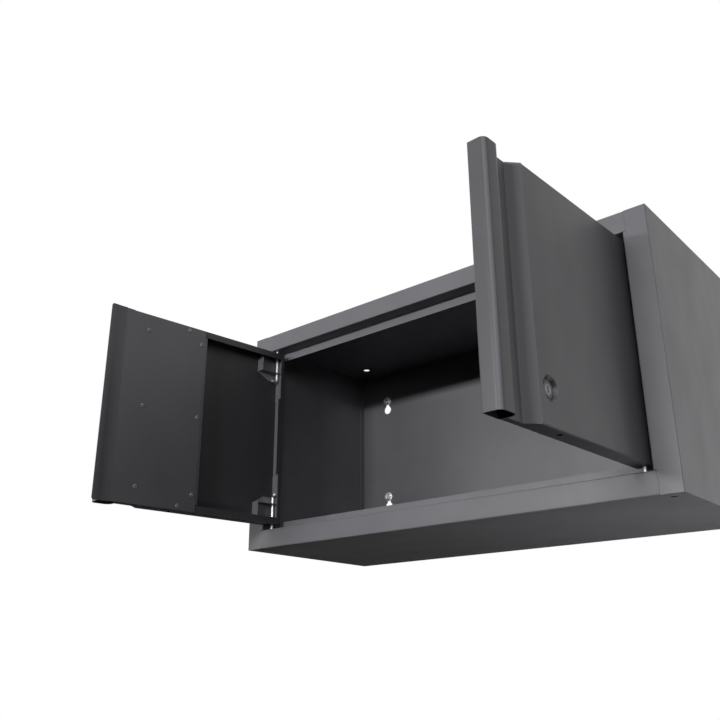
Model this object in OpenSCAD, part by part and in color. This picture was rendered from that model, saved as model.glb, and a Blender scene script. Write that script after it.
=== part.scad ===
// Wall-mounted storage cabinet with two inset doors, folded from sheet steel.
// Millimetres, Z up. The origin lies in the middle of the back, in the wall's plane, so the front
// faces -Y. Both doors stand open: angle 0 of each hinge is the open door that is modelled here.

/* [Case] */
// Outer width
case_w = 680; // [560:5:900]
// Outer height
case_h = 350; // [320:5:500]
// Outer depth
case_d = 280; // [220:5:400]
// Thickness of the case and door sheets
sheet = 1; // [0.8:0.1:1.4]
// Height of the rails above and below the doors
rail_h = 28; // [22:1:36]
// Outer radius of the folds
fold_r = 1.6; // [1:0.1:1.7]
// Width of the posts beside the doors
post_w = 31; // [28:1:40]
// Distance from the outer side to the ends of the rails
rail_end = 27; // [20:1:27]
// Depth of the folds behind rails and posts
sill_d = 25; // [24:0.5:32]
// Height of the lips that the doors close against
stop_h = 13; // [10:0.5:20]
// Width of the flange round the back panel
back_flange = 10; // [6:0.5:16]

/* [Wall fixing] */
// Distance between the screws across the back
fix_w = 560; // [440:5:600]
// Distance between the upper and lower screws
fix_h = 180; // [140:5:220]
// Height of the screw pattern's middle above the case's middle
fix_rise = 32.5; // [10:0.5:40]
// Diameter of the keyhole's round part
key_d = 15; // [13:0.5:18]
// Width of the keyhole's slot
key_slot_w = 7; // [6.6:0.1:8]
// Distance from the round part up to the screw
key_rise = 17; // [14:0.5:22]
// Diameter of the screw
screw_d = 6; // [5:0.5:6.5]
// Diameter of the screw's neck, under its head
screw_neck_d = 5.4; // [4.5:0.1:6]
// Width of the screw's head across its flats
head_af = 10; // [9:0.5:12]
// Height of the screw's head
head_h = 4; // [3:0.5:6]
// Length of the screw in the wall
screw_in_wall = 14; // [8:1:40]
// Diameter of the washer
washer_d = 16; // [15:0.5:20]
// Thickness of the washer
washer_t = 1.6; // [1:0.1:2.5]

/* [Case holes] */
// Diameter of the holes in the top
top_hole_d = 11; // [6:0.5:20]
// Distance of these holes from the sides
top_hole_side = 48; // [30:1:90]
// Distance of these holes from the back
top_hole_back = 47; // [30:1:90]
// Diameter of the holes in the bottom
low_hole_d = 8; // [4:0.5:10]
// Distance of these holes from the sides
low_hole_side = 17.5; // [12:0.5:20]
// Distance of these holes from the front
low_hole_front = 17; // [12:0.5:30]

/* [Doors] */
// Gap above and below the doors
door_gap = 7; // [4:0.5:9]
// Gap between the posts and the doors
side_gap = 6; // [4:0.5:8]
// Gap between the doors
mid_gap = 7; // [4:0.5:8]
// Thickness of the doors
door_t = 21; // [20:0.5:22]
// Width of the lips inside the doors' edges
lip_w = 10.5; // [9:0.5:12]
// Width of the lip at the grip edge
edge_lip_w = 24; // [20:0.5:26]
// Opening angle of the left door
left_open = 97; // [60:1:105]
// Opening angle of the right door
right_open = 87.5; // [60:0.5:105]
// Diameter of the drain hole in the lower flange
drain_d = 6; // [4:0.5:8]
// Distance of the drain hole from the inner panel's edge
drain_inset = 35; // [20:1:60]

/* [Grip] */
// Width of the bead along the free edge
bead_w = 27.5; // [24:0.5:30]
// Radius of the bead's front corner
bead_front_r = 7; // [3:0.5:8]
// Radius of the bead's rear corner
bead_back_r = 9; // [3:0.5:10]
// Width of the finger channel's floor
channel_w = 25; // [18:0.5:28]
// Depth of the finger channel
channel_d = 12.5; // [8:0.5:13]
// Width of the slope from the floor to the door's face
slope_w = 14; // [8:0.5:16]

/* [Inner panels] */
// Width of the panel that closes the door's inner side
panel_w = 132; // [124:1:150]
// Thickness of that panel
panel_t = 0.8; // [0.6:0.1:1]
// Gap between the panel and the door's upper and lower edges
panel_gap = 1; // [0.5:0.5:3]
// Width of the strip that covers the gap between the doors
strip_w = 23.5; // [20:0.5:26]
// Reach of the strip past the left door's edge
strip_reach = 9; // [8:0.5:11]
// Thickness of the strip
strip_t = 1.2; // [1:0.1:1.4]
// Step back in the strip, which clears the right door
strip_step = 0.6; // [0.4:0.1:0.8]
// Radius of the strip's outer corners
strip_r = 3; // [1:0.5:6]
// Width of the stiffeners behind the panel
stiff_w = 20; // [16:1:22]
// Depth of the stiffeners
stiff_d = 6; // [4:0.5:6]
// Distance of the rivets nearest the hinge from the panel's edge
rivet_inset = 6; // [4:0.5:8]
// Distance of the rivets nearest the grip from the panel's other edge
rivet_outset = 37; // [34:0.5:44]
// Distance of a column's first and last rivet from the door's ends
rivet_end = 25; // [22:1:50]
// Distance of the lip rivets from the panel's edge
lip_rivet_inset = 28; // [20:1:80]
// Distance of the lip rivets from the door's upper and lower edges
lip_rivet_edge = 7; // [5:0.5:8]
// Diameter of the rivet's head
rivet_head_d = 6.4; // [5:0.2:7]
// Diameter of the flat on the rivet's head
rivet_flat_d = 4.4; // [3:0.2:5]
// Diameter of the rivet's shank
rivet_d = 3.2; // [2.4:0.1:3.6]
// Height of the rivet's head
rivet_head_h = 1; // [0.6:0.1:1.4]
// Diameter of the bulb on the rivet's hidden end
rivet_bulb_d = 4.6; // [4:0.2:5]

/* [Hinges] */
// Distance of the hinge pin from the door's hinge edge
pin_edge = 6; // [5.8:0.1:8]
// Distance of the hinge pin behind the door's face
pin_face = 8.5; // [8:0.5:10]
// Diameter of the hinge pin
pin_d = 4.4; // [4:0.1:4.6]
// Reach of the pin past the case's sheet
pin_reach = 3; // [2:0.5:5]
// Chamfer of the pin's tip
pin_chamfer = 0.9; // [0.3:0.1:1.2]
// Radius of the pin's bend along its middle
pin_bend_r = 4; // [3:0.5:5]
// Distance from the bracket's shelf to the start of the pin's bend
handle_drop = 9; // [1:0.5:14]
// Reach of the pin's handle from the pin's middle
handle_reach = 10.5; // [9:0.5:14]
// Angle of the upper handles round the pin
handle_top_turn = 0; // [0:5:90]
// Angle of the lower handles round the pin
handle_low_turn = 70; // [0:5:90]
// Distance from the door's end to the bracket's shelf
shelf_at = 32; // [28:0.5:36]
// Thickness of the bracket
bracket_t = 1; // [0.8:0.1:1.2]
// Width of the bracket along the door
bracket_w = 38; // [30:1:46]
// Depth of the bracket's shelf and side
bracket_d = 14; // [12:0.5:16]
// Length of the bracket's arm along the hinge edge
arm_l = 78; // [60:1:90]
// Width of the bracket's arm
arm_w = 12; // [8:0.5:14]
// Height of the bracket's slanted corner past its shelf
gusset_h = 12; // [8:0.5:20]
// Width of the lip that is left beside the bracket's arm
notch_lip_w = 6.5; // [4:0.5:8]
// Diameter of the pin's collar
collar_d = 7.2; // [7:0.1:7.4]
// Thickness of the pin's collar
collar_t = 1; // [0.8:0.1:1.5]
// Diameter of the spring's wire
wire_d = 0.5; // [0.4:0.05:0.6]
// Number of the spring's curls
curls = 9; // [4:1:10]

/* [Lock] */
// Distance of the lock from the edge of the grip's slope
lock_inset = 20; // [16:1:30]
// Height of the lock above the door's lower edge
lock_rise = 39; // [36:1:60]
// Diameter of the dish round the lock
dish_d = 27; // [24:0.5:30]
// Depth of the dish
dish_deep = 4; // [3:0.5:5]
// Diameter of the dish's floor
dish_floor_d = 21; // [20:0.5:22]
// Diameter of the housing's head
lock_head_d = 17; // [16:0.5:18]
// Thickness of the housing's head
lock_head_t = 1.2; // [0.8:0.1:2]
// Diameter of the housing's barrel
barrel_d = 15; // [14.5:0.1:15.6]
// Diameter of the plug
plug_d = 11.6; // [10:0.1:12]
// Width of the nut across its flats
nut_af = 19; // [18:0.5:21]
// Thickness of the nut
nut_t = 3; // [2:0.5:4]
// Width of the cam
cam_w = 14; // [12:0.5:16]
// Thickness of the cam
cam_t = 2; // [1.5:0.1:2.5]
// Catch of the cam behind the case's lip
cam_catch = 7; // [4:0.5:9]
// Width of the square that carries the cam
cam_square_w = 7; // [6:0.2:8]
// Diameter of the screw that holds the cam
cam_screw_d = 4; // [3:0.5:4]
// Length of that screw in the plug
cam_screw_l = 7; // [5:0.5:9]
// Diameter of that screw's head
cam_screw_head_d = 8; // [7:0.5:10]
// Height of that screw's head
cam_screw_head_h = 2; // [1.5:0.1:3]
// Width of the keyway
key_w = 1.6; // [1:0.1:2.4]
// Height of the keyway
key_h = 7; // [5:0.5:8]
// Depth of the keyway
key_deep = 7; // [4:0.5:9]

/* [Fits] */
// Clearance round a turning or sliding pin, on the radius
pin_clear = 0.2; // [0.1:0.05:0.3]
// Clearance round a fixed shank, on the radius
fix_clear = 0.1; // [0.05:0.05:0.2]
// Gap between the spring and the pin, on the radius
spring_clear = 0.3; // [0.3:0.05:0.4]
// Gap between the door's end flange and the pin's collar
collar_gap = 0.3; // [0.2:0.1:1]
// Gap between the cam and the case's lip
cam_clear = 0.5; // [0.3:0.1:1]
// Gap between an inner stiffener and the door's lips
stiff_clear = 1; // [0.5:0.5:3]

/* [Hidden] */
$fn = 64;

// A cut runs this far past the face that it opens
over = 1;

// Colours of the coated sheet, the bright zinc and the steel
coat_colour = [0.27, 0.28, 0.30];
inner_colour = [0.20, 0.20, 0.22];
zinc_colour = [0.78, 0.80, 0.82];
steel_colour = [0.50, 0.51, 0.53];

// Door sizes that follow from the case
door_h = case_h - 2 * rail_h - 2 * door_gap;
door_w = (case_w - mid_gap) / 2 - post_w - side_gap;

// Stations along a door, from the hinge pin towards the free edge
hinge_s = -pin_edge;
free_s = door_w - pin_edge;
bead_s = free_s - bead_w;
floor_s = bead_s - channel_w;
slope_s = floor_s - slope_w;
strip_s = free_s + strip_reach - strip_w;
panel_s = strip_s - panel_w;
lock_s = slope_s - lock_inset;

// Stations through a door, from the hinge pin towards the inner side
face_t = -pin_face;
back_t = door_t - pin_face;
floor_t = face_t + channel_d;
cam_near_t = sill_d - pin_face + cam_clear;

// Middle of the hinge pins
pin_x = case_w / 2 - post_w - side_gap - pin_edge;
pin_y = pin_face - case_d;

// Keyhole and screw positions on the back, as across and up from the case's middle
fix_places = [for (x = [-1, 1], z = [-1, 1]) [x * fix_w / 2, fix_rise + z * fix_h / 2]];

// Rivet positions on the inner panel, as along the door and up from its middle
near_rivet_s = panel_s + rivet_inset;
far_rivet_s = strip_s - rivet_outset;
column_rivets = [
    for (s = [near_rivet_s, far_rivet_s], z = [-1, 0, 1]) [s, z * (door_h / 2 - rivet_end)]
];
lip_rivets = [for (z = [-1, 1]) [panel_s + lip_rivet_inset, z * (door_h / 2 - lip_rivet_edge)]];

// Frames: the case from its lower left front corner, and each door from its hinge pin
module from_corner() {
    translate([-case_w / 2, -case_d, -case_h / 2])
        children();
}

module on_left_door() {
    translate([-pin_x, pin_y, 0])
        rotate([0, 0, -left_open])
            children();
}

module on_right_door() {
    translate([pin_x, pin_y, 0])
        rotate([0, 0, right_open])
            mirror([1, 0, 0])
                children();
}

// The two ends of a door's hinge edge, with Z pointing out of the door
module at_top_end() {
    translate([0, 0, door_h / 2])
        children();
}

module at_low_end() {
    translate([0, 0, -door_h / 2])
        mirror([0, 0, 1])
            children();
}

module both_ends() {
    at_top_end()
        children();
    at_low_end()
        children();
}

module box(from, to) {
    translate(from)
        cube(to - from);
}

// What a rounded corner loses. The solid lies towards inward, which holds two signs.
module corner_cut(at, inward, radius) {
    translate(at)
        mirror([inward[0] > 0 ? 0 : 1, 0])
            mirror([0, inward[1] > 0 ? 0 : 1])
                difference() {
                    translate([-over, -over])
                        square(radius + over);
                    translate([radius, radius])
                        circle(r = radius);
                }
}

// A bar along X with its section in Y and Z
module bar_x(from_x, to_x) {
    translate([from_x, 0, 0])
        rotate([90, 0, 90])
            linear_extrude(height = to_x - from_x)
                children();
}

// An upright bar of a plan outline
module upright(height) {
    translate([0, 0, -height / 2])
        linear_extrude(height = height)
            children();
}

// A hole or pin along Y, from one depth to another
module bar_y(x, z, diameter, from_y, to_y) {
    translate([x, from_y, z])
        rotate([-90, 0, 0])
            cylinder(h = to_y - from_y, d = diameter);
}

// Case
module side_panel() {
    from_corner()
        difference() {
            union() {
                box([0, 0, 0], [sheet, case_d, case_h]);
                box([0, 0, 0], [rail_end, sheet, case_h]);
                box([0, 0, rail_h], [post_w, sheet, case_h - rail_h]);
                box([post_w - sheet, 0, rail_h], [post_w, sill_d - sheet, case_h - rail_h]);
            }
            translate([0, 0, case_h / 2]) {
                upright(case_h + 2 * over)
                    corner_cut([0, 0], [1, 1], fold_r);
                upright(case_h - 2 * rail_h + 2 * over)
                    corner_cut([post_w, 0], [-1, 1], fold_r);
            }
        }
}

module side_panel_left() {
    color(coat_colour)
        side_panel();
}

module side_panel_right() {
    color(coat_colour)
        mirror([1, 0, 0])
            side_panel();
}

// The bottom of the case with its rail, sill, door stop and holes. The top is its mirror image.
module end_panel(hole_d, hole_side, hole_front) {
    from_corner() {
        difference() {
            union() {
                box([sheet, sheet, 0], [case_w - sheet, case_d, sheet]);
                box([rail_end, 0, 0], [case_w - rail_end, sheet, rail_h]);
                box([rail_end, 0, rail_h - sheet], [case_w - rail_end, sill_d, rail_h]);
                box([rail_end, sill_d - sheet, rail_h - sheet], [case_w - rail_end, sill_d, rail_h + stop_h]);
            }
            bar_x(rail_end - over, case_w - rail_end + over) {
                corner_cut([0, 0], [1, 1], fold_r);
                corner_cut([0, rail_h], [1, -1], fold_r);
                corner_cut([sill_d, rail_h - sheet], [-1, 1], fold_r);
            }
            for (x = [hole_side, case_w - hole_side])
                translate([x, hole_front, -over])
                    cylinder(h = sheet + 2 * over, d = hole_d);
            for (side = [-1, 1])
                translate([case_w / 2 + side * pin_x, pin_face, rail_h - sheet - over])
                    cylinder(h = sheet + 2 * over, d = pin_d + 2 * pin_clear);
        }
    }
}

module bottom_panel() {
    color(coat_colour)
        end_panel(low_hole_d, low_hole_side, low_hole_front);
}

module top_panel() {
    color(coat_colour)
        mirror([0, 0, 1])
            end_panel(top_hole_d, top_hole_side, case_d - top_hole_back);
}

module keyhole_cut(x, z) {
    bar_y(x, z - key_rise, key_d, -sheet - over, over);
    bar_y(x, z, key_slot_w, -sheet - over, over);
    box([x - key_slot_w / 2, -sheet - over, z - key_rise], [x + key_slot_w / 2, over, z]);
}

module back_panel() {
    half_w = case_w / 2 - sheet;
    half_h = case_h / 2 - sheet;
    flange_y = -sheet - back_flange;
    color(coat_colour)
        difference() {
            box([-half_w, flange_y, -half_h], [half_w, 0, half_h]);
            box([sheet - half_w, flange_y - over, sheet - half_h], [half_w - sheet, -sheet, half_h - sheet]);
            for (place = fix_places)
                keyhole_cut(place[0], place[1]);
            for (side = [-1, 1]) {
                upright(case_h)
                    corner_cut([side * half_w, 0], [-side, -1], fold_r);
                bar_x(-half_w, half_w)
                    corner_cut([0, side * half_h], [-1, -side], fold_r);
            }
        }
}

module wall_screws() {
    head_y = -sheet - washer_t;
    color(zinc_colour)
        for (place = fix_places) {
            bar_y(place[0], place[1], screw_d, 0, screw_in_wall);
            bar_y(place[0], place[1], screw_neck_d, head_y - head_h / 2, over);
            translate([place[0], head_y - head_h, place[1]])
                rotate([-90, 0, 0])
                    cylinder(h = head_h, d = head_af / cos(30), $fn = 6);
        }
}

module wall_washers() {
    color(zinc_colour)
        for (place = fix_places)
            difference() {
                bar_y(place[0], place[1], washer_d, -sheet - washer_t, -sheet);
                bar_y(place[0], place[1], screw_neck_d + 2 * fix_clear, -sheet - washer_t - over, over);
            }
}

// Doors. The section lies in plan, along the door in X and through it in Y.
// Outline of the door at a distance inside its outer surface
module door_section(inset) {
    bend = inset * tan(atan2(channel_d, slope_w) / 2);
    difference() {
        polygon([
            [hinge_s + inset, face_t + inset],
            [slope_s - bend, face_t + inset],
            [floor_s - bend, floor_t + inset],
            [bead_s + inset, floor_t + inset],
            [bead_s + inset, face_t + inset],
            [free_s - inset, face_t + inset],
            [free_s - inset, back_t - inset],
            [hinge_s + inset, back_t - inset]
        ]);
        corner_cut([hinge_s + inset, face_t + inset], [1, 1], fold_r - inset);
        corner_cut([bead_s + inset, face_t + inset], [1, 1], bead_back_r - inset);
        corner_cut([free_s - inset, face_t + inset], [-1, 1], bead_front_r - inset);
        corner_cut([free_s - inset, back_t - inset], [-1, -1], fold_r - inset);
        corner_cut([hinge_s + inset, back_t - inset], [1, -1], fold_r - inset);
    }
}

// The hollow of the door: closed by the end flanges, but open through the bead
module door_hollow() {
    upright(door_h - 2 * sheet)
        door_section(sheet);
    upright(door_h + 2 * over)
        intersection() {
            door_section(sheet);
            translate([bead_s + sheet, face_t])
                square([bead_w, door_t]);
        }
}

// The opening between the lips on the door's inner side, wider beside the hinge brackets
module inner_opening() {
    reach = back_t - sheet - over;
    end_z = door_h / 2 - lip_w;
    box([hinge_s + lip_w, reach, -end_z], [free_s - edge_lip_w, back_t + over, end_z]);
    for (side = [-1, 1])
        translate([0, 0, side * (door_h / 2 - (arm_l + lip_w) / 2)])
            translate([hinge_s + notch_lip_w, reach, -(arm_l - lip_w) / 2])
                cube([lip_w, sheet + 2 * over, arm_l - lip_w]);
}

// What the folds to the end flanges lose, along the door's face and its inner side
module end_folds() {
    for (side = [-1, 1]) {
        bar_x(hinge_s - over, slope_s)
            corner_cut([face_t, side * door_h / 2], [1, -side], fold_r);
        bar_x(hinge_s - over, bead_s)
            corner_cut([back_t, side * door_h / 2], [-1, -side], fold_r);
    }
}

module rivet_holes(places, from_t, to_t) {
    for (place = places)
        bar_y(place[0], place[1], rivet_d + 2 * fix_clear, from_t, to_t);
}

module door_skin() {
    difference() {
        upright(door_h)
            door_section(0);
        door_hollow();
        inner_opening();
        end_folds();
        rivet_holes(lip_rivets, back_t - sheet - over, back_t + over);
        both_ends()
            translate([0, 0, -sheet - over])
                cylinder(h = sheet + 2 * over, d = pin_d + 2 * pin_clear);
        at_low_end()
            translate([panel_s + drain_inset, 0, -sheet - over])
                cylinder(h = sheet + 2 * over, d = drain_d);
    }
}

module left_door_skin() {
    color(coat_colour)
        on_left_door()
            door_skin();
}

// Frame of the lock, with Z running from the door's face to its inner side
module at_lock() {
    translate([lock_s, 0, lock_rise - door_h / 2])
        rotate([-90, 0, 0])
            children();
}

module dish_cone(grow, from_t, to_t) {
    slope = (dish_d - dish_floor_d) / 2 / dish_deep;
    translate([0, 0, from_t])
        cylinder(
            h = to_t - from_t,
            r1 = dish_d / 2 + grow - (from_t - face_t) * slope,
            r2 = dish_d / 2 + grow - (to_t - face_t) * slope
        );
}

module right_door_skin() {
    dish_t = face_t + dish_deep;
    color(coat_colour)
        on_right_door()
            difference() {
                union() {
                    door_skin();
                    at_lock()
                        dish_cone(sheet, face_t, dish_t + sheet);
                }
                at_lock() {
                    dish_cone(0, face_t - over, dish_t);
                    translate([0, 0, dish_t - over])
                        cylinder(h = sheet + 2 * over, d = barrel_d + 2 * fix_clear);
                }
            }
}

// Panel that closes the door's inner side between the open pan and the grip edge
module inner_panel() {
    half_h = door_h / 2 - panel_gap;
    difference() {
        box([panel_s, back_t, -half_h], [strip_s, back_t + panel_t, half_h]);
        rivet_holes(concat(column_rivets, lip_rivets), back_t - over, back_t + panel_t + over);
    }
}

module left_inner_panel() {
    color(inner_colour)
        on_left_door()
            inner_panel();
}

module right_inner_panel() {
    color(inner_colour)
        on_right_door()
            difference() {
                inner_panel();
                at_lock()
                    translate([0, 0, back_t - over])
                        cylinder(h = panel_t + 2 * over, d = barrel_d + 2 * fix_clear);
            }
}

// Hat-shaped stiffeners on the panel's hidden side, one behind each rivet column
module stiffeners() {
    half_h = door_h / 2 - lip_w - stiff_clear;
    difference() {
        for (s = [near_rivet_s, far_rivet_s]) {
            box([s - stiff_w / 2, back_t - sheet, -half_h], [s + stiff_w / 2, back_t, half_h]);
            for (side = [-1, 1])
                translate([s + side * (stiff_w - sheet) / 2 - sheet / 2, back_t - stiff_d, -half_h])
                    cube([sheet, stiff_d, 2 * half_h]);
        }
        rivet_holes(column_rivets, back_t - sheet - over, back_t + over);
    }
}

module left_stiffeners() {
    color(inner_colour)
        on_left_door()
            stiffeners();
}

module right_stiffeners() {
    color(inner_colour)
        on_right_door()
            stiffeners();
}

// Blind rivets with a flat cone for a head and a short bulb on the hidden side
module rivets() {
    for (place = concat(column_rivets, lip_rivets))
        translate([place[0], 0, place[1]])
            rotate([-90, 0, 0]) {
                translate([0, 0, back_t - sheet - rivet_head_h / 2])
                    cylinder(h = sheet + panel_t + rivet_head_h, d = rivet_d);
                translate([0, 0, back_t + panel_t])
                    cylinder(h = rivet_head_h, d1 = rivet_head_d, d2 = rivet_flat_d);
                translate([0, 0, back_t - sheet - rivet_head_h])
                    cylinder(h = rivet_head_h, d = rivet_bulb_d);
            }
}

module left_rivets() {
    color(steel_colour)
        on_left_door()
            rivets();
}

module right_rivets() {
    color(steel_colour)
        on_right_door()
            rivets();
}

// Strip on the left door that covers the gap between the doors from behind
module left_meeting_strip() {
    end_s = free_s + strip_reach;
    flat_s = free_s - strip_step;
    step_s = free_s + strip_step;
    step_t = back_t + strip_step;
    color(coat_colour)
        on_left_door()
            difference() {
                upright(door_h)
                    polygon([
                        [strip_s, back_t],
                        [flat_s, back_t],
                        [step_s, step_t],
                        [end_s, step_t],
                        [end_s, step_t + strip_t],
                        [step_s, step_t + strip_t],
                        [flat_s, back_t + strip_t],
                        [strip_s, back_t + strip_t]
                    ]);
                for (side = [0, 1])
                    mirror([0, 0, side])
                        translate([end_s - strip_r, back_t - over, door_h / 2 - strip_r])
                            difference() {
                                cube([strip_r + over, strip_t + strip_step + 2 * over, strip_r + over]);
                                translate([0, -over, 0])
                                    rotate([-90, 0, 0])
                                        cylinder(h = strip_t + strip_step + 4 * over, r = strip_r);
                            }
            }
}

// Hinge bracket in the frame of a door's end: shelf, side, slanted back plate and long arm
module hinge_bracket() {
    left_s = hinge_s + sheet;
    right_s = left_s + bracket_w;
    low_t = face_t + sheet;
    high_t = low_t + bracket_d;
    end_z = -sheet;
    shelf_z = -shelf_at;
    difference() {
        union() {
            box([left_s, low_t, shelf_z - bracket_t], [right_s, high_t, shelf_z]);
            box([right_s - bracket_t, low_t, shelf_z - bracket_t], [right_s, high_t, end_z]);
            box([left_s, low_t, -arm_l], [left_s + bracket_t, low_t + arm_w, end_z]);
            translate([0, low_t + bracket_t, 0])
                rotate([90, 0, 0])
                    linear_extrude(height = bracket_t)
                        polygon([
                            [left_s, end_z],
                            [right_s, end_z],
                            [right_s, shelf_z - bracket_t],
                            [left_s + bracket_w / 2, shelf_z - gusset_h],
                            [left_s, shelf_z - gusset_h]
                        ]);
        }
        upright(2 * (arm_l + over))
            corner_cut([left_s, low_t], [1, 1], fold_r);
        translate([0, 0, shelf_z - bracket_t - over])
            cylinder(h = bracket_t + 2 * over, d = pin_d + 2 * pin_clear);
    }
}

module left_bracket_top() {
    color(inner_colour)
        on_left_door()
            at_top_end()
                hinge_bracket();
}

module left_bracket_bottom() {
    color(inner_colour)
        on_left_door()
            at_low_end()
                hinge_bracket();
}

module right_bracket_top() {
    color(inner_colour)
        on_right_door()
            at_top_end()
                hinge_bracket();
}

module right_bracket_bottom() {
    color(inner_colour)
        on_right_door()
            at_low_end()
                hinge_bracket();
}

// Hinge pin in the frame of a door's end, with its collar and its bent handle
module hinge_pin(turn) {
    tip_z = door_gap + sheet + pin_reach;
    bend_z = -shelf_at - bracket_t - handle_drop;
    rotate([0, 0, turn]) {
        translate([0, 0, tip_z - pin_chamfer])
            cylinder(h = pin_chamfer, d1 = pin_d, d2 = pin_d - 2 * pin_chamfer);
        translate([0, 0, bend_z])
            cylinder(h = tip_z - pin_chamfer - bend_z, d = pin_d);
        translate([0, 0, -sheet - collar_gap - collar_t])
            cylinder(h = collar_t, d = collar_d);
        translate([pin_bend_r, 0, bend_z])
            rotate([90, 0, 0])
                rotate([0, 0, 180])
                    rotate_extrude(angle = 90)
                        translate([pin_bend_r, 0])
                            circle(d = pin_d);
        translate([pin_bend_r, 0, bend_z - pin_bend_r])
            rotate([0, 90, 0])
                cylinder(h = handle_reach - pin_bend_r, d = pin_d);
    }
}

module left_pin_top() {
    color(zinc_colour)
        on_left_door()
            at_top_end()
                hinge_pin(handle_top_turn);
}

module left_pin_bottom() {
    color(zinc_colour)
        on_left_door()
            at_low_end()
                hinge_pin(handle_low_turn);
}

module right_pin_top() {
    color(zinc_colour)
        on_right_door()
            at_top_end()
                hinge_pin(handle_top_turn);
}

module right_pin_bottom() {
    color(zinc_colour)
        on_right_door()
            at_low_end()
                hinge_pin(handle_low_turn);
}

// Spring round the pin, from the shelf to the collar, as one tube along a helix
rings_per_curl = 8;
tube_sides = 6;
spring_r = pin_d / 2 + spring_clear + wire_d / 2;
spring_l = shelf_at - sheet - collar_gap - collar_t;
helix_l = spring_l - 2 * wire_d;
helix_steps = curls * rings_per_curl;
last_ring = helix_steps + 2;

// Each ring has an angle and a height: one straight piece, the helix and another straight piece.
// Its lead is the wire's angle out of the level, which is upright at both ends.
upright_lead = 90;
function ring_angle(i) = 360 / rings_per_curl * min(max(i - 1, 0), helix_steps);
function ring_height(i) =
    i == 0 ? 0 :
    i == last_ring ? spring_l :
    wire_d + helix_l * (i - 1) / helix_steps;
function ring_middle(i) = [
    spring_r * cos(ring_angle(i)),
    spring_r * sin(ring_angle(i)),
    ring_height(i)
];
helix_lead = atan2(helix_l / curls, 2 * PI * spring_r);
function ring_lead(i) =
    i == 0 || i == last_ring ? upright_lead :
    i == 1 || i == last_ring - 1 ? (upright_lead + helix_lead) / 2 :
    helix_lead;
function ring_point(i, k) =
    let (a = ring_angle(i), b = 360 * k / tube_sides, lead = ring_lead(i))
    ring_middle(i) + wire_d / 2 * (
        cos(b) * [cos(a), sin(a), 0] +
        sin(b) * [sin(lead) * sin(a), -sin(lead) * cos(a), cos(lead)]
    );
spring_points = [for (i = [0:last_ring], k = [0:tube_sides - 1]) ring_point(i, k)];
spring_sides = [
    for (i = [0:last_ring - 1], k = [0:tube_sides - 1], half = [0, 1])
        let (a = i * tube_sides + k, b = i * tube_sides + (k + 1) % tube_sides)
        half == 0 ? [a, b, b + tube_sides] : [a, b + tube_sides, a + tube_sides]
];
spring_ends = [
    for (k = [1:tube_sides - 2], end = [0, 1])
        end == 0 ? [0, k + 1, k] :
        [last_ring * tube_sides, last_ring * tube_sides + k, last_ring * tube_sides + k + 1]
];

// Least gap between the spring's curls, measured on the rings' middles at least half a curl apart
spring_gap = min([
    for (i = [0:last_ring], j = [0:last_ring])
        if (j > i + rings_per_curl / 2) norm(ring_middle(i) - ring_middle(j))
]) - wire_d;
echo(spring_gap = spring_gap);

module spring() {
    translate([0, 0, -shelf_at])
        polyhedron(points = spring_points, faces = concat(spring_sides, spring_ends));
}

module left_spring_top() {
    color(steel_colour)
        on_left_door()
            at_top_end()
                spring();
}

module left_spring_bottom() {
    color(steel_colour)
        on_left_door()
            at_low_end()
                spring();
}

module right_spring_top() {
    color(steel_colour)
        on_right_door()
            at_top_end()
                spring();
}

module right_spring_bottom() {
    color(steel_colour)
        on_right_door()
            at_low_end()
                spring();
}

// Lock. Its cam reaches behind the lower lip when it is turned down.
lock_face_t = face_t + dish_deep - lock_head_t;
cam_reach = rail_h + door_gap + lock_rise - (rail_h + stop_h) + cam_catch;

module lock_housing() {
    dish_t = face_t + dish_deep;
    color(zinc_colour)
        on_right_door()
            at_lock()
                difference() {
                    union() {
                        translate([0, 0, lock_face_t])
                            cylinder(h = lock_head_t, d = lock_head_d);
                        translate([0, 0, dish_t])
                            cylinder(h = cam_near_t - dish_t, d = barrel_d);
                    }
                    translate([0, 0, lock_face_t - over])
                        cylinder(h = cam_near_t - lock_face_t + 2 * over, d = plug_d + 2 * pin_clear);
                }
}

module lock_nut() {
    nut_from = face_t + dish_deep + sheet;
    color(zinc_colour)
        on_right_door()
            at_lock()
                difference() {
                    translate([0, 0, nut_from])
                        cylinder(h = nut_t, d = nut_af / cos(30), $fn = 6);
                    translate([0, 0, nut_from - over])
                        cylinder(h = nut_t + 2 * over, d = barrel_d + 2 * fix_clear);
                }
}

module lock_plug() {
    color(steel_colour)
        on_right_door()
            at_lock()
                difference() {
                    union() {
                        translate([0, 0, lock_face_t])
                            cylinder(h = cam_near_t - lock_face_t, d = plug_d);
                        translate([-cam_square_w / 2, -cam_square_w / 2, cam_near_t])
                            cube([cam_square_w, cam_square_w, cam_t]);
                    }
                    translate([-key_w / 2, -key_h / 2, lock_face_t - over])
                        cube([key_w, key_h, key_deep + over]);
                    translate([0, 0, cam_near_t + cam_t - cam_screw_l - fix_clear])
                        cylinder(h = cam_screw_l + over, d = cam_screw_d + 2 * fix_clear);
                }
}

module lock_cam() {
    hole = cam_square_w + 2 * fix_clear;
    color(zinc_colour)
        on_right_door()
            at_lock()
                translate([0, 0, cam_near_t])
                    difference() {
                        union() {
                            cylinder(h = cam_t, d = cam_w);
                            translate([-cam_reach + cam_w / 2, -cam_w / 2, 0])
                                cube([cam_reach - cam_w / 2, cam_w, cam_t]);
                            translate([-cam_reach + cam_w / 2, 0, 0])
                                cylinder(h = cam_t, d = cam_w);
                        }
                        translate([-hole / 2, -hole / 2, -over])
                            cube([hole, hole, cam_t + 2 * over]);
                    }
}

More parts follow.
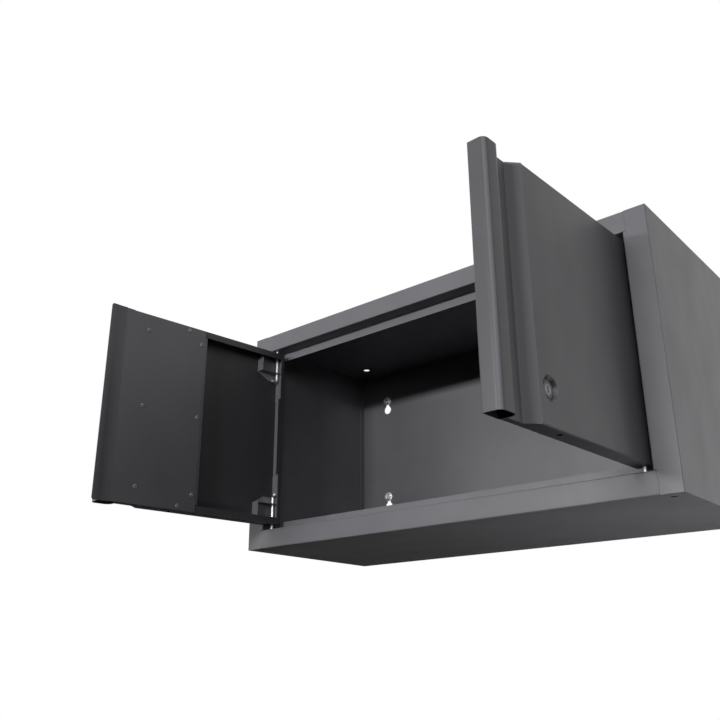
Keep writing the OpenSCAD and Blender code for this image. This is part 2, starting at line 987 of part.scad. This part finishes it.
module cam_screw() {
    color(steel_colour)
        on_right_door()
            at_lock()
                translate([0, 0, cam_near_t + cam_t]) {
                    translate([0, 0, -cam_screw_l])
                        cylinder(h = cam_screw_l, d = cam_screw_d);
                    cylinder(h = cam_screw_head_h, d = cam_screw_head_d);
                }
}

side_panel_left();
side_panel_right();
top_panel();
bottom_panel();
back_panel();
wall_screws();
wall_washers();
left_door_skin();
left_inner_panel();
left_stiffeners();
left_meeting_strip();
left_rivets();
left_bracket_top();
left_bracket_bottom();
right_door_skin();
right_inner_panel();
right_stiffeners();
right_rivets();
right_bracket_top();
right_bracket_bottom();
lock_housing();
lock_nut();
lock_plug();
lock_cam();
cam_screw();
left_pin_top();
left_pin_bottom();
right_pin_top();
right_pin_bottom();
left_spring_top();
left_spring_bottom();
right_spring_top();
right_spring_bottom();
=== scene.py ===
import math

import bmesh
import bpy
from mathutils import Matrix, Vector


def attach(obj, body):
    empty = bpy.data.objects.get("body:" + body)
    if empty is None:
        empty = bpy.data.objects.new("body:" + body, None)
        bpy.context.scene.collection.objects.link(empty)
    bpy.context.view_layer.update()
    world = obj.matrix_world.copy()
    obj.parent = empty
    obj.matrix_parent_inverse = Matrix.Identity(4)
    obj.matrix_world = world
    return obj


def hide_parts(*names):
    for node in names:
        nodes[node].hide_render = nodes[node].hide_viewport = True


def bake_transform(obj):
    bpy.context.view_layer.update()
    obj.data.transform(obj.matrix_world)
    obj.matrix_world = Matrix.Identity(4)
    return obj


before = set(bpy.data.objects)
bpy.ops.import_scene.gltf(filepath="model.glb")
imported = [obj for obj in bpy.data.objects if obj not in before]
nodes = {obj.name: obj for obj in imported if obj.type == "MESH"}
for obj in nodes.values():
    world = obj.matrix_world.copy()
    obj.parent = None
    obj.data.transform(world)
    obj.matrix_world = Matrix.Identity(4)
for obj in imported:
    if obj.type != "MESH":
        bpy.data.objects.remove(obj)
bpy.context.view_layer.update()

scene = bpy.context.scene

# Sizes of the frame that the pieces below are built on, in metres. A door's own frame starts at its hinge
# pins, at half height: x runs along the door, y from its outer to its inner side and z up
SHEET = 0.001
DOOR_H = 0.280
PIN_X, PIN_Y = 0.297, -0.2715
OPEN_LEFT, OPEN_RIGHT = math.radians(97), math.radians(87.5)
# Inner panel of a door: where it starts and ends along the door, its hidden side and its thickness
PANEL_NEAR, PANEL_FAR = 0.147, 0.279
PANEL_Y, PANEL_T = 0.0125, 0.0008
# Finger channel of a door: its depth, and the width of the slope from its floor to the door's face
CHANNEL_D, SLOPE_W = 0.0125, 0.014
# Wall fixings: half the width of a screw's head over its flats, its height and neck, and the washer
HEAD_R, HEAD_H = 0.005, 0.004
NECK_R = 0.0027
WASHER_T = 0.0016
WASHER_FACE = -SHEET - WASHER_T

# From a door's own frame to the model's, and from a door's end, mirrored below, to the door
DOORS = {"left": Matrix.Translation((-PIN_X, PIN_Y, 0)) @ Matrix.Rotation(-OPEN_LEFT, 4, "Z"),
         "right": (Matrix.Translation((PIN_X, PIN_Y, 0)) @ Matrix.Rotation(OPEN_RIGHT, 4, "Z")
                   @ Matrix.Diagonal((-1, 1, 1, 1)))}
ENDS = {"top": Matrix.Translation((0, 0, DOOR_H / 2)),
        "bottom": Matrix.Translation((0, 0, -DOOR_H / 2)) @ Matrix.Diagonal((1, 1, -1, 1))}
# From a turned form's height to the depth of the cabinet or the door
THROUGH = Matrix.Rotation(math.radians(-90), 4, "X")


# Camera, solved from the photograph's edges
def camera():
    place = (0.6424, -1.1632, -0.3515)
    roll, pitch, heading = -0.003624, -0.3565, -0.7055
    photo_px, lens_px, shift_px = 720, 829.7, 2.4
    turn = Matrix.Rotation(roll, 3, "Y") @ Matrix.Rotation(pitch, 3, "X") @ Matrix.Rotation(heading, 3, "Z")
    # a camera without a turn looks down, and the solved one looks along y
    from_level = Matrix.Rotation(math.radians(90), 4, "X")
    data = bpy.data.cameras.new("camera")
    data.sensor_width = 36
    data.lens = lens_px / photo_px * data.sensor_width
    data.shift_y = shift_px / photo_px
    data.clip_start, data.clip_end = 0.05, 60
    cam = bpy.data.objects.new("camera", data)
    cam.matrix_world = Matrix.Translation(place) @ turn.transposed().to_4x4() @ from_level
    scene.collection.objects.link(cam)
    scene.camera = cam


# Node trees
class Nodes:
    """Short calls for building the node tree of a material or a world."""

    def __init__(self, owner, output):
        owner.use_nodes = True
        self.tree = owner.node_tree
        self.tree.nodes.clear()
        self.out = self.add(output)

    def add(self, kind, **values):
        node = self.tree.nodes.new(kind)
        for key, value in values.items():
            setattr(node, key, value)
        return node

    def link(self, output, socket):
        self.tree.links.new(output, socket)

    def put(self, socket, value):
        """Links another node's output to a socket, or sets a number, a direction or a colour on it."""
        if isinstance(value, bpy.types.NodeSocket):
            self.link(value, socket)
        else:
            socket.default_value = (*value, 1) if socket.type == "RGBA" else value

    def surface(self, shader):
        self.link(shader, self.out.inputs["Surface"])

    def calc(self, what, a, b):
        node = self.add("ShaderNodeMath", operation=what)
        self.put(node.inputs[0], a)
        self.put(node.inputs[1], b)
        return node.outputs["Value"]

    def times(self, a, b):
        return self.calc("MULTIPLY", a, b)

    def plus(self, a, b):
        return self.calc("ADD", a, b)


class Material(Nodes):
    """A material's tree, whose patterns lie in the object's own space."""

    def __init__(self, name):
        self.mat = bpy.data.materials.new(name)
        super().__init__(self.mat, "ShaderNodeOutputMaterial")
        self.coordinates = self.add("ShaderNodeTexCoord").outputs

    def principled(self):
        shader = self.add("ShaderNodeBsdfPrincipled")
        self.surface(shader.outputs["BSDF"])
        return shader.inputs

    def noise(self, scale, detail, rough, stretch=(1, 1, 1)):
        places = self.add("ShaderNodeMapping")
        self.put(places.inputs["Vector"], self.coordinates["Object"])
        self.put(places.inputs["Scale"], stretch)
        node = self.add("ShaderNodeTexNoise")
        self.put(node.inputs["Vector"], places.outputs["Vector"])
        self.put(node.inputs["Scale"], scale)
        self.put(node.inputs["Detail"], detail)
        self.put(node.inputs["Roughness"], rough)
        return node.outputs["Fac"]

    def cells(self, scale):
        """Distance from the middle of the nearest of many small cells."""
        node = self.add("ShaderNodeTexVoronoi")
        self.put(node.inputs["Vector"], self.coordinates["Object"])
        self.put(node.inputs["Scale"], scale)
        return node.outputs["Distance"]

    def ramp(self, value, low, high, to_low=0.0, to_high=1.0):
        node = self.add("ShaderNodeMapRange", interpolation_type="SMOOTHSTEP")
        self.put(node.inputs["Value"], value)
        for key, number in (("From Min", low), ("From Max", high), ("To Min", to_low), ("To Max", to_high)):
            self.put(node.inputs[key], number)
        return node.outputs["Result"]

    def mix(self, factor, a, b):
        node = self.add("ShaderNodeMix", data_type="RGBA")
        self.put(node.inputs["Factor"], factor)
        for name, colour in (("A", a), ("B", b)):
            self.put(next(s for s in node.inputs if s.name == name and s.type == "RGBA"), colour)
        return next(s for s in node.outputs if s.type == "RGBA")

    def bump(self, height, distance, strength, normal=None):
        node = self.add("ShaderNodeBump")
        self.put(node.inputs["Height"], height)
        self.put(node.inputs["Distance"], distance)
        self.put(node.inputs["Strength"], strength)
        if normal is not None:
            self.put(node.inputs["Normal"], normal)
        return node.outputs["Normal"]

    def alike(self, a, b):
        """1 where two directions are the same, 0 where they are square to each other."""
        node = self.add("ShaderNodeVectorMath", operation="DOT_PRODUCT")
        self.put(node.inputs[0], a)
        self.put(node.inputs[1], b)
        return node.outputs["Value"]

    def normal(self):
        return self.add("ShaderNodeNewGeometry").outputs["Normal"]

    def edges(self, radius):
        """1 on a sharp edge of the mesh, 0 away from it."""
        softened = self.add("ShaderNodeBevel", samples=4)
        self.put(softened.inputs["Radius"], radius)
        return self.ramp(self.alike(softened.outputs["Normal"], self.normal()), 0.99, 0.80)


# Finishes
def tone(colour, factor, add=0.0):
    """A colour made darker or lighter."""
    return [min(1, c * factor + add) for c in colour]


def coat(name, colour, gloss, specular=0.5, streaks=1.0, painted_light_and_shade=()):
    """Satin powder coat: fine grain, orange peel, faint streaks of the sheet, dust, and edges drawn lighter,
    partly as wear and partly as a painted edge highlight.

    Painted light and shade: pairs of a direction and a factor for the colour of the faces that look that way;
    a factor above 1 is a painted light and one below 1 a painted shade."""
    m = Material(name)
    dark, light = tone(colour, 0.93), tone(colour, 1.07)
    # the lighter edge colour stands for wear and a painted edge highlight
    worn_and_highlit, dusty = tone(colour, 1.7, 0.01), tone(colour, 2.2, 0.02)
    streak_share, grain_share, wear_and_highlight_share, dust_share = 0.22 * streaks, 0.25, 0.45, 0.25
    grain = m.noise(scale=1500, detail=3, rough=0.6)
    cloud = m.noise(scale=9, detail=3, rough=0.55)
    streak = m.noise(scale=1, detail=4, rough=0.65, stretch=(170, 170, 2.5))
    base = m.mix(m.ramp(cloud, 0.3, 0.7), dark, light)
    base = m.mix(m.times(m.ramp(streak, 0.42, 0.72), streak_share), base, light)
    base = m.mix(m.times(m.ramp(grain, 0.55, 0.75), grain_share), base, dark)
    # faces that look along a listed direction get a lighter colour for painted light and a darker one for
    # painted shade
    for direction, factor in painted_light_and_shade:
        painted_light_mask = m.alike(m.coordinates["Normal"], direction)
        base = m.mix(m.ramp(painted_light_mask, 0.90, 0.99), base, tone(colour, factor))

    # coat thinned in patches along the edges and drawn lighter there, as wear and as a painted edge
    # highlight, and dust on what faces up
    rubbed_and_highlit = m.times(m.edges(0.0006), m.ramp(m.noise(scale=70, detail=3, rough=0.6), 0.42, 0.66))
    base = m.mix(m.times(rubbed_and_highlit, wear_and_highlight_share), base, worn_and_highlit)
    up = m.alike(m.normal(), (0, 0, 1))
    specks = m.ramp(m.noise(scale=22, detail=4, rough=0.6), 0.35, 0.75, 0.1, 0.4)
    dust = m.times(m.ramp(up, 0.6, 1.0), specks)
    base = m.mix(m.times(dust, dust_share), base, dusty)

    # gloss smeared by hands and broken by grain and dust
    smear = m.noise(scale=26, detail=4, rough=0.6, stretch=(1, 1, 0.45))
    rough = m.ramp(smear, 0.25, 0.8, gloss - 0.025, gloss + 0.04)
    rough = m.plus(rough, m.times(m.ramp(grain, 0.3, 0.8), 0.05))
    rough = m.plus(rough, m.times(dust, 0.25))
    peel = m.noise(scale=420, detail=2, rough=0.5)
    relief = m.bump(grain, distance=0.00006, strength=0.35)
    relief = m.bump(peel, distance=0.00018, strength=0.16, normal=relief)
    skin = m.principled()
    m.put(skin["Base Color"], base)
    m.put(skin["Roughness"], rough)
    m.put(skin["Specular IOR Level"], specular)
    m.put(skin["Normal"], relief)
    return m.mat


def metal(name, colour, gloss, spangle=220, tint=(0.80, 0.78, 0.70), spread=0.10):
    """Plated or plain steel: cloudy tint, uneven gloss, fine scratches and edges drawn brighter as a painted
    highlight.
    """
    m = Material(name)
    cloud = m.ramp(m.noise(scale=60, detail=3, rough=0.6), 0.3, 0.7)
    base = m.mix(cloud, colour, tone(colour, 0.82))
    stain = m.ramp(m.noise(scale=35, detail=2, rough=0.5), 0.45, 0.7)
    base = m.mix(m.times(stain, 0.35), base, tint)
    # edges drawn brighter: a painted highlight
    base = m.mix(m.times(m.edges(0.0004), 0.3), base, tone(colour, 1.2))
    scratches = m.noise(scale=900, detail=2, rough=0.6, stretch=(1, 1, 14))
    uneven = m.plus(m.times(m.cells(spangle), 0.5), m.times(scratches, 0.5))
    skin = m.principled()
    m.put(skin["Base Color"], base)
    m.put(skin["Metallic"], 1.0)
    m.put(skin["Roughness"], m.ramp(uneven, 0.1, 0.7, gloss - spread / 2, gloss + spread))
    m.put(skin["Normal"], m.bump(scratches, distance=0.00004, strength=0.25))
    return m.mat


def painted_light_and_shade(side, *pairs):
    """Painted light and shade of a door: pairs of a direction in a door's own frame and a factor, with the
    direction turned to the model's.
    """
    return [(tuple(DOORS[side].to_3x3() @ Vector(direction)), factor) for direction, factor in pairs]


# Painted light and shade on the doors: the left door's pan is drawn darker as painted shade and its free edge
# lighter as painted light, as in the photograph, and the slope of both lighter as painted light
SLOPE = math.atan2(CHANNEL_D, SLOPE_W)
INWARD, ALONG, OFF_THE_SLOPE = (0, 1, 0), (1, 0, 0), (math.sin(SLOPE), -math.cos(SLOPE), 0)
LEFT_PAINTED_LIGHT_AND_SHADE = painted_light_and_shade("left", (INWARD, 0.42), (ALONG, 1.9), (OFF_THE_SLOPE, 2.1))
RIGHT_PAINTED_LIGHT = painted_light_and_shade("right", (OFF_THE_SLOPE, 2.1))

# the case, doors and inner panels carry one grey coat; its lightness differs from part to part as painted
# light and shade: lighter on the case, darker on the doors and inner panels
DOOR_GREY = (0.083, 0.082, 0.090)
CASE_COAT = coat("case_coat", (0.162, 0.160, 0.174), 0.40, 0.40)
STRIP_COAT = coat("door_coat", DOOR_GREY, 0.40, 0.34)
DOOR_COATS = {"left": coat("left_door_coat_painted_light_and_shade", DOOR_GREY, 0.40, 0.34, painted_light_and_shade=LEFT_PAINTED_LIGHT_AND_SHADE),
              "right": coat("right_door_coat_painted_light", DOOR_GREY, 0.40, 0.34, painted_light_and_shade=RIGHT_PAINTED_LIGHT)}
INNER_COAT = coat("inner_coat", (0.068, 0.067, 0.075), 0.40, 0.60)
BRACKET_COAT = coat("bracket_coat", (0.170, 0.168, 0.180), 0.36, 0.50, streaks=0.3)
# rivet heads drawn a lighter grey than the panel: a painted highlight
RIVET_COAT_PAINTED_HIGHLIGHT = coat("rivet_coat_painted_highlight", (0.140, 0.139, 0.150), 0.26, 0.70, streaks=0.0)
# lock housing drawn near-black: a dark finish and also a painted shade of the lock's recess
LOCK_BODY_BLACK_AND_SHADE = coat("housing_black_and_painted_shade", (0.020, 0.020, 0.022), 0.36, streaks=0.0)
ZINC = metal("zinc_plate", (0.92, 0.93, 0.95), 0.52)
PIN_ZINC = metal("pin_zinc", (0.90, 0.91, 0.93), 0.38, spread=0.08)
PLUG = metal("plug_steel", (0.21, 0.21, 0.22), 0.50, tint=(0.24, 0.23, 0.20))
SPRING = metal("spring_wire", (0.80, 0.81, 0.83), 0.36, spangle=600)


# Pieces that stay as the frame has them get a material and a fine bevel on their edges. Panels whose holes
# lie far apart in one face go without the bevel, which would draw a line from hole to hole
def dress(name, material, bevel):
    piece = nodes[name]
    piece.data.materials.clear()
    piece.data.materials.append(material)
    if not bevel:
        return
    for face in piece.data.polygons:
        face.use_smooth = True
    bpy.context.view_layer.objects.active = piece
    bpy.ops.mesh.customdata_custom_splitnormals_clear()
    weld = piece.modifiers.new("weld", "WELD")
    weld.merge_threshold = 0.00001
    edge = piece.modifiers.new("edge", "BEVEL")
    edge.width = bevel
    edge.segments = 2
    edge.limit_method = "ANGLE"
    edge.angle_limit = math.radians(35)
    edge.harden_normals = True
    edge.miter_outer = "MITER_ARC"


# Mesh forms
def point(radius, angle, z):
    return (radius * math.cos(angle), radius * math.sin(angle), z)


def around(radius, z, steps):
    return [point(radius, 2 * math.pi * i / steps, z) for i in range(steps)]


def grid(bm, rings, caps=True, at=Matrix.Identity(4)):
    """Joins closed rings of points into one skin."""
    rows = [[bm.verts.new(at @ Vector(p)) for p in ring] for ring in rings]
    count = len(rows[0])
    for low, high in zip(rows, rows[1:]):
        for i in range(count):
            j = (i + 1) % count
            bm.faces.new((low[i], low[j], high[j], high[i]))
    if caps:
        bm.faces.new(rows[0][::-1])
        bm.faces.new(rows[-1])


def turned(bm, profile, steps, at, ring=False):
    """A turned form from (radius, height) pairs; in a ring the last pair joins the first."""
    profile = profile + profile[:1] if ring else profile
    grid(bm, [around(r, z, steps) for r, z in profile], caps=not ring, at=at)


def swept(bm, path, radii, sides, at):
    """A round bar along a path, turned as little as possible from point to point."""
    points = [Vector(p) for p in path]
    turns = [2 * math.pi * k / sides for k in range(sides)]
    rings, side = [], None
    for i, (middle, radius) in enumerate(zip(points, radii)):
        ahead = (points[min(i + 1, len(points) - 1)] - points[max(i - 1, 0)]).normalized()
        if side is None:
            side = ahead.orthogonal().normalized()
        side = (side - ahead * side.dot(ahead)).normalized()
        other = ahead.cross(side)
        rings.append([middle + radius * (math.cos(a) * side + math.sin(a) * other) for a in turns])
    grid(bm, rings, at=at)


def new_object(name, bm, material):
    mesh = bpy.data.meshes.new(name)
    bm.to_mesh(mesh)
    bm.free()
    mesh.materials.append(material)
    made = bpy.data.objects.new(name, mesh)
    scene.collection.objects.link(made)
    return made


def new_piece(name, bm, material, stands_for, smooth_angle=40):
    """A new piece that is shown in place of one node of the frame."""
    bmesh.ops.remove_doubles(bm, verts=bm.verts, dist=1e-7)
    bmesh.ops.recalc_face_normals(bm, faces=bm.faces)
    for edge in bm.edges:
        if len(edge.link_faces) == 2 and edge.calc_face_angle() > math.radians(smooth_angle):
            edge.smooth = False
    for face in bm.faces:
        face.smooth = True
    piece = new_object(name, bm, material)
    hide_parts(stands_for)
    return piece


# Spring between the bracket's shelf and the pin's collar. The heights of springs and pins are taken from the
# door's end
def spring(side, end):
    wire_r, coil_r, curls, low, high = 0.00025, 0.00275, 9, -0.032, -0.0023
    steps, sides, flat_share = 28 * curls, 10, 0.035
    path = []
    for i in range(steps + 1):
        t = i / steps
        # the end curls lie nearly flat, as on a ground spring
        rise = t + flat_share * math.sin(2 * math.pi * t)
        z = low + wire_r + (high - low - 2 * wire_r) * min(1, max(0, rise))
        path.append(point(coil_r, 2 * math.pi * curls * t, z))
    bm = bmesh.new()
    at = DOORS[side] @ ENDS[end]
    swept(bm, path, [wire_r] * len(path), sides, at)
    coil = new_piece("%s_coil_%s" % (side, end), bm, SPRING, "%s_spring_%s" % (side, end))
    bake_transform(coil)


# Hinge pin: a bent rod with a rounded tip, its handle below the bracket's shelf and its collar
def pin(side, end):
    radius, tip, bend_at, bend_r, reach = 0.0022, 0.011, -0.042, 0.004, 0.0105
    collar_r, collar_low, collar_high, collar_round = 0.0036, -0.0023, -0.0013, 0.0003
    handle_turn = {"top": 0, "bottom": 70}[end]
    # points of the bar, each with its radius: rounded tip, straight part, bend and handle
    bar = []
    for below, thinner in ((0, 0.0010), (0.0002, 0.0008), (0.0009, 0.0001), (0.0013, 0)):
        bar.append(((0, 0, tip - below), radius - thinner))
    for z in (0.004, -0.004, -0.014, -0.024, -0.034, bend_at):
        bar.append(((0, 0, z), radius))
    for degrees in range(10, 91, 10):
        a = math.radians(degrees)
        bar.append(((bend_r - bend_r * math.cos(a), 0, bend_at - bend_r * math.sin(a)), radius))
    for before, thinner in ((0.0006, 0), (0.0002, 0.0002), (0, 0.0007)):
        bar.append(((reach - before, 0, bend_at - bend_r), radius - thinner))
    bm = bmesh.new()
    at = DOORS[side] @ ENDS[end] @ Matrix.Rotation(math.radians(handle_turn), 4, "Z")
    swept(bm, [place for place, _ in bar], [r for _, r in bar], 32, at)
    half_collar = [(radius, 0), (collar_r - collar_round, 0), (collar_r, collar_round)]
    collar = [(r, collar_low + h) for r, h in half_collar]
    collar += [(r, collar_high - h) for r, h in half_collar[::-1]]
    turned(bm, collar, 40, at, ring=True)
    body = "%s_pin_%s" % (side, end)
    bolt = new_piece("%s_bolt_%s" % (side, end), bm, PIN_ZINC, body)
    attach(bolt, body)


# Blind rivets of a door: two columns of three, and one in each lip of the pan
def rivets(side):
    from_hinge_side, from_free_side, from_ends = 0.006, 0.037, 0.025
    lip_in, lip_from_ends = 0.028, 0.007
    half = DOOR_H / 2
    places = [(x, z) for x in (PANEL_NEAR + from_hinge_side, PANEL_FAR - from_free_side)
              for z in (from_ends - half, 0, half - from_ends)]
    places += [(PANEL_NEAR + lip_in, z) for z in (lip_from_ends - half, half - lip_from_ends)]
    # a flat cone with the mandrel's hole on the panel's face, and a bulb behind the sheet
    head = [(0.00318, 0.0), (0.0032, 0.00008), (0.0031, 0.00034), (0.0027, 0.00068), (0.0022, 0.00092),
            (0.0016, 0.001), (0.0011, 0.00092), (0.0009, 0.0007), (0.0008, -0.0004)]
    bulb = [(0.0022, 0.0), (0.0023, -0.0005), (0.0019, -0.001), (0.0009, -0.001)]
    shank_r, panel_face, sheet_back = 0.0016, PANEL_Y + PANEL_T, PANEL_Y - SHEET
    shank = [(shank_r, panel_face), (shank_r, sheet_back)]
    bm = bmesh.new()
    for x, z in places:
        at = DOORS[side] @ Matrix.Translation((x, 0, z)) @ THROUGH
        turned(bm, [(r, panel_face + h) for r, h in head], 28, at)
        turned(bm, shank + [(r, sheet_back + h) for r, h in bulb], 24, at)
    made = new_piece(side + "_blind_rivets", bm, RIVET_COAT_PAINTED_HIGHLIGHT, side + "_rivets")
    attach(made, side + "_door")


# Wall fixings. A screw's height runs from its head's top towards the wall
def screw_head(bm, at):
    """Hexagon head with a shallow dish in its top, a chamfer and a round washer face."""
    steps, top_r, foot_r, chamfer = 72, HEAD_R * 0.94, HEAD_R * 0.97, math.radians(30)
    dish = [(0.0012, 0.00025), (0.0022, 0.0003), (0.0030, 0.00005), (top_r, 0.0)]
    rim, foot = [], []
    for i in range(steps):
        angle = 2 * math.pi * i / steps
        off_middle = math.degrees(angle) % 60 - 30
        r = HEAD_R / math.cos(math.radians(off_middle))
        rim.append(point(r, angle, (r - top_r) * math.tan(chamfer)))
        foot.append(point(r, angle, HEAD_H - 0.0002))
    rings = [around(r, z, steps) for r, z in dish]
    rings += [rim, foot, around(foot_r, HEAD_H, steps), around(NECK_R, HEAD_H, steps)]
    grid(bm, rings, at=at)


def screw_thread(bm, start, at):
    """Coarse thread that tapers to a blunt point inside the wall."""
    pitch, root, crest, length, taper_l, blunt = 0.0018, 0.0021, 0.003, 0.014, 0.003, 0.25
    steps, sides, sharpness = 70, 32, 3.2
    rows = []
    for k in range(steps + 1):
        z = length * k / steps
        taper = min(1.0, (length - z) / taper_l + blunt)
        row = []
        for i in range(sides):
            phase = (z / pitch - i / sides) % 1.0
            r = root + (crest - root) * max(0.0, 1 - sharpness * abs(phase - 0.5))
            row.append(point(r * taper, 2 * math.pi * i / sides, start + z))
        rows.append(row)
    grid(bm, rows, at=at)


def wall_fixings():
    side_x, rows_z = 0.28, (-0.0575, 0.1225)
    wall = HEAD_H - WASHER_FACE
    washer = [(0.0028, 0.0001), (0.0029, 0.0), (0.0077, 0.0), (0.00795, 0.00015), (0.008, 0.0004),
              (0.008, WASHER_T - 0.0003), (0.0078, WASHER_T), (0.0029, WASHER_T), (0.0028, WASHER_T - 0.0001)]
    screws, washers = bmesh.new(), bmesh.new()
    for x in (-side_x, side_x):
        for z in rows_z:
            at = Matrix.Translation((x, WASHER_FACE - HEAD_H, z)) @ THROUGH
            screw_head(screws, at)
            turned(screws, [(NECK_R, HEAD_H - 0.0001), (NECK_R, wall)], 32, at)
            screw_thread(screws, wall, at)
            turned(washers, washer, 56, Matrix.Translation((x, WASHER_FACE, z)) @ THROUGH, ring=True)
    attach(new_piece("hexagon_screws", screws, ZINC, "wall_screws", smooth_angle=28), "case")
    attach(new_piece("flat_washers", washers, ZINC, "wall_washers"), "case")


# Stage
def floor():
    """Pale floor far below the cabinet, which glows a little for the camera alone."""
    middle, ring_r, rings = (0, -0.2, -1.5), 0.4, 6
    m = Material("floor")
    diffuse = m.add("ShaderNodeBsdfDiffuse")
    patches = m.ramp(m.noise(scale=3, detail=3, rough=0.5), 0.3, 0.7)
    m.put(diffuse.inputs["Color"], m.mix(patches, (0.56, 0.56, 0.56), (0.60, 0.60, 0.60)))
    glow = m.add("ShaderNodeEmission")
    m.put(glow.inputs["Strength"], m.times(m.add("ShaderNodeLightPath").outputs["Is Camera Ray"], 0.80))
    both = m.add("ShaderNodeAddShader")
    m.put(both.inputs[0], diffuse.outputs["BSDF"])
    m.put(both.inputs[1], glow.outputs["Emission"])
    m.surface(both.outputs["Shader"])
    bm = bmesh.new()
    circles = [around(ring_r * k * k, 0.0, 64) for k in range(1, rings + 1)]
    grid(bm, circles, at=Matrix.Translation(middle))
    new_object("floor", bm, m.mat)


def surroundings():
    """White for the camera, gloss and clear things, and a faint even light for all else."""
    scene.world = bpy.data.worlds.new("studio")
    w = Nodes(scene.world, "ShaderNodeOutputWorld")
    faint = w.add("ShaderNodeBackground")
    w.put(faint.inputs["Color"], (0.97, 0.98, 1.0))
    w.put(faint.inputs["Strength"], 0.045)
    white = w.add("ShaderNodeBackground")
    w.put(white.inputs["Color"], (1, 1, 1))
    rays = w.add("ShaderNodeLightPath").outputs
    seen = rays["Is Camera Ray"]
    for kind in ("Is Glossy Ray", "Is Transmission Ray"):
        seen = w.calc("MAXIMUM", seen, rays[kind])
    choice = w.add("ShaderNodeMixShader")
    w.put(choice.inputs["Fac"], seen)
    w.put(choice.inputs[1], faint.outputs["Background"])
    w.put(choice.inputs[2], white.outputs["Background"])
    w.surface(choice.outputs["Shader"])


def lamp(name, place, target, size, watts):
    """A soft rectangular lamp that the camera doesn't see."""
    data = bpy.data.lights.new(name, "AREA")
    data.shape = "RECTANGLE"
    data.size, data.size_y = size
    data.energy = watts
    light = bpy.data.objects.new(name, data)
    light.location = place
    light.rotation_euler = (Vector(target) - Vector(place)).to_track_quat("-Z", "Y").to_euler()
    light.visible_camera = False
    scene.collection.objects.link(light)


scene.view_settings.view_transform = "Standard"
camera()
floor()
surroundings()
lamp("front_strip", (0.30, -2.9, 0.315), (0, -0.28, 0.1), (0.7, 0.16), 33)
lamp("left_strip", (-0.90, -2.9, 0.315), (0, -0.28, 0.1), (0.7, 0.16), 19)
lamp("right_fill", (1.9, -2.3, 0.2), (0.3, -0.4, 0.0), (0.8, 0.8), 11)
lamp("under_fill", (0.42, -0.10, -0.58), (0.30, -0.14, -0.175), (0.40, 0.20), 1.2)
lamp("top_fill", (0.0, 0.2, 2.4), (0, -0.1, 0), (2.0, 1.4), 14)
lamp("back_fill", (-0.6, 2.8, 0.9), (0, 0, 0), (1.6, 1.2), 22)
lamp("left_fill", (-2.6, 0.2, 0.6), (-0.34, -0.2, 0), (1.0, 1.0), 16)
lamp("right_back_fill", (2.4, 2.0, 0.2), (0.34, -0.1, 0), (1.0, 1.0), 4)

CASE_BEVEL, THIN_BEVEL, LOCK_BEVEL, PLUG_BEVEL, SCREW_BEVEL = 0.0004, 0.00022, 0.0002, 0.00015, 0.0003
for name in ("side_panel_left", "side_panel_right", "top_panel", "bottom_panel"):
    dress(name, CASE_COAT, CASE_BEVEL)
dress("back_panel", CASE_COAT, None)
for side in ("left", "right"):
    dress(side + "_door_skin", DOOR_COATS[side], THIN_BEVEL)
    dress(side + "_inner_panel", INNER_COAT, None)
    dress(side + "_stiffeners", INNER_COAT, THIN_BEVEL)
    for end in ("top", "bottom"):
        dress("%s_bracket_%s" % (side, end), BRACKET_COAT, THIN_BEVEL)
        spring(side, end)
        pin(side, end)
    rivets(side)
dress("left_meeting_strip", STRIP_COAT, THIN_BEVEL)
dress("lock_housing", LOCK_BODY_BLACK_AND_SHADE, LOCK_BEVEL)
dress("lock_nut", ZINC, LOCK_BEVEL)
dress("lock_plug", PLUG, PLUG_BEVEL)
dress("lock_cam", ZINC, LOCK_BEVEL)
dress("cam_screw", ZINC, SCREW_BEVEL)
wall_fixings()
